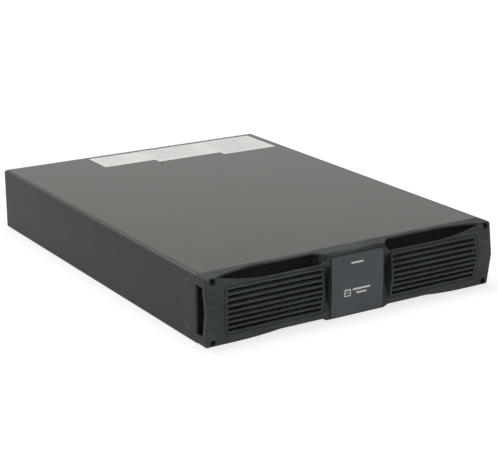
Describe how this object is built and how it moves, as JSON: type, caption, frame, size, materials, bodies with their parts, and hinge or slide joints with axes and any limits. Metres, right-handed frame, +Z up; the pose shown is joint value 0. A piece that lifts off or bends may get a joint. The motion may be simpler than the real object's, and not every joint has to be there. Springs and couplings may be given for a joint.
{
  "type": "ups battery pack",
  "caption": "Two-unit rack battery pack for an uninterruptible power supply: steel case, slotted moulded front, rear breaker and power sockets.",
  "frame": {"origin": "middle of the underside of the whole pack's box", "axes": "+X to the right seen from the front, +Y to the back, +Z up; the moulded front faces -Y"},
  "size_m": [0.44, 0.614, 0.0882],
  "materials": {
    "powder_coated_steel": "fine satin black powder coat on folded sheet steel",
    "galvanised_steel": "plain galvanised sheet",
    "moulded_abs": "charcoal ABS with a fine spark texture",
    "panel_abs": "blue grey ABS with a smooth satin face",
    "label_film": "pale grey printed film, matt",
    "battery_case": "black ABS battery case",
    "black_nylon": "black glass-filled nylon",
    "insulating_film": "pale insulating sheet",
    "copper": "bare copper strip",
    "fuse_body": "white ceramic-look tube",
    "breaker_case": "grey moulded breaker case",
    "breaker_handle": "black moulded lever",
    "zinc_steel": "zinc-plated steel",
    "black_screw": "black-coated steel screws"
  },
  "bodies": {
    "case": {"battery_1": "battery_case", "battery_10": "battery_case", "battery_11": "battery_case", "battery_12": "battery_case", "battery_2": "battery_case", "battery_3": "battery_case", "battery_4": "battery_case", "battery_5": "battery_case", "battery_6": "battery_case", "battery_7": "battery_case", "battery_8": "battery_case", "battery_9": "battery_case", "battery_door": "powder_coated_steel", "battery_drawer_left": "galvanised_steel", "battery_drawer_right": "galvanised_steel", "bezel_screws": "black_screw", "breaker_body": "breaker_case", "breaker_pin": "zinc_steel", "bulkhead_screws": "black_screw", "centre_divider": "powder_coated_steel", "centre_panel": "panel_abs", "chassis_tray": "powder_coated_steel", "cover_screws": "zinc_steel", "door_screws": "black_screw", "ear_inserts": "zinc_steel", "front_bezel": "moulded_abs", "fuse_holders": "black_nylon", "fuses": "fuse_body", "ground_nut": "zinc_steel", "ground_stud": "zinc_steel", "insulation_sheet": "insulating_film", "label_left": "label_film", "label_middle": "label_film", "label_right": "label_film", "left_grille": "moulded_abs", "negative_busbar": "copper", "positive_busbar": "copper", "power_socket_1": "black_nylon", "power_socket_2": "black_nylon", "pull_strap_left": "black_nylon", "pull_strap_right": "black_nylon", "rear_bulkhead": "powder_coated_steel", "rear_panel": "powder_coated_steel", "rear_panel_screws": "black_screw", "right_grille": "moulded_abs", "socket_blades": "copper", "string_links_left": "copper", "string_links_right": "copper", "string_plug_left": "black_nylon", "string_plug_right": "black_nylon", "string_sockets": "black_nylon", "top_cover": "powder_coated_steel"},
    "lever": {"breaker_lever": "breaker_handle"}
  },
  "joints": [
    {"name": "breaker_throw", "type": "hinge", "parent": "case", "child": "lever", "pos_m": [-0.154, 0.288, 0.042], "axis": [-1, 0, 0], "range_deg": [0, 40]}
  ]
}
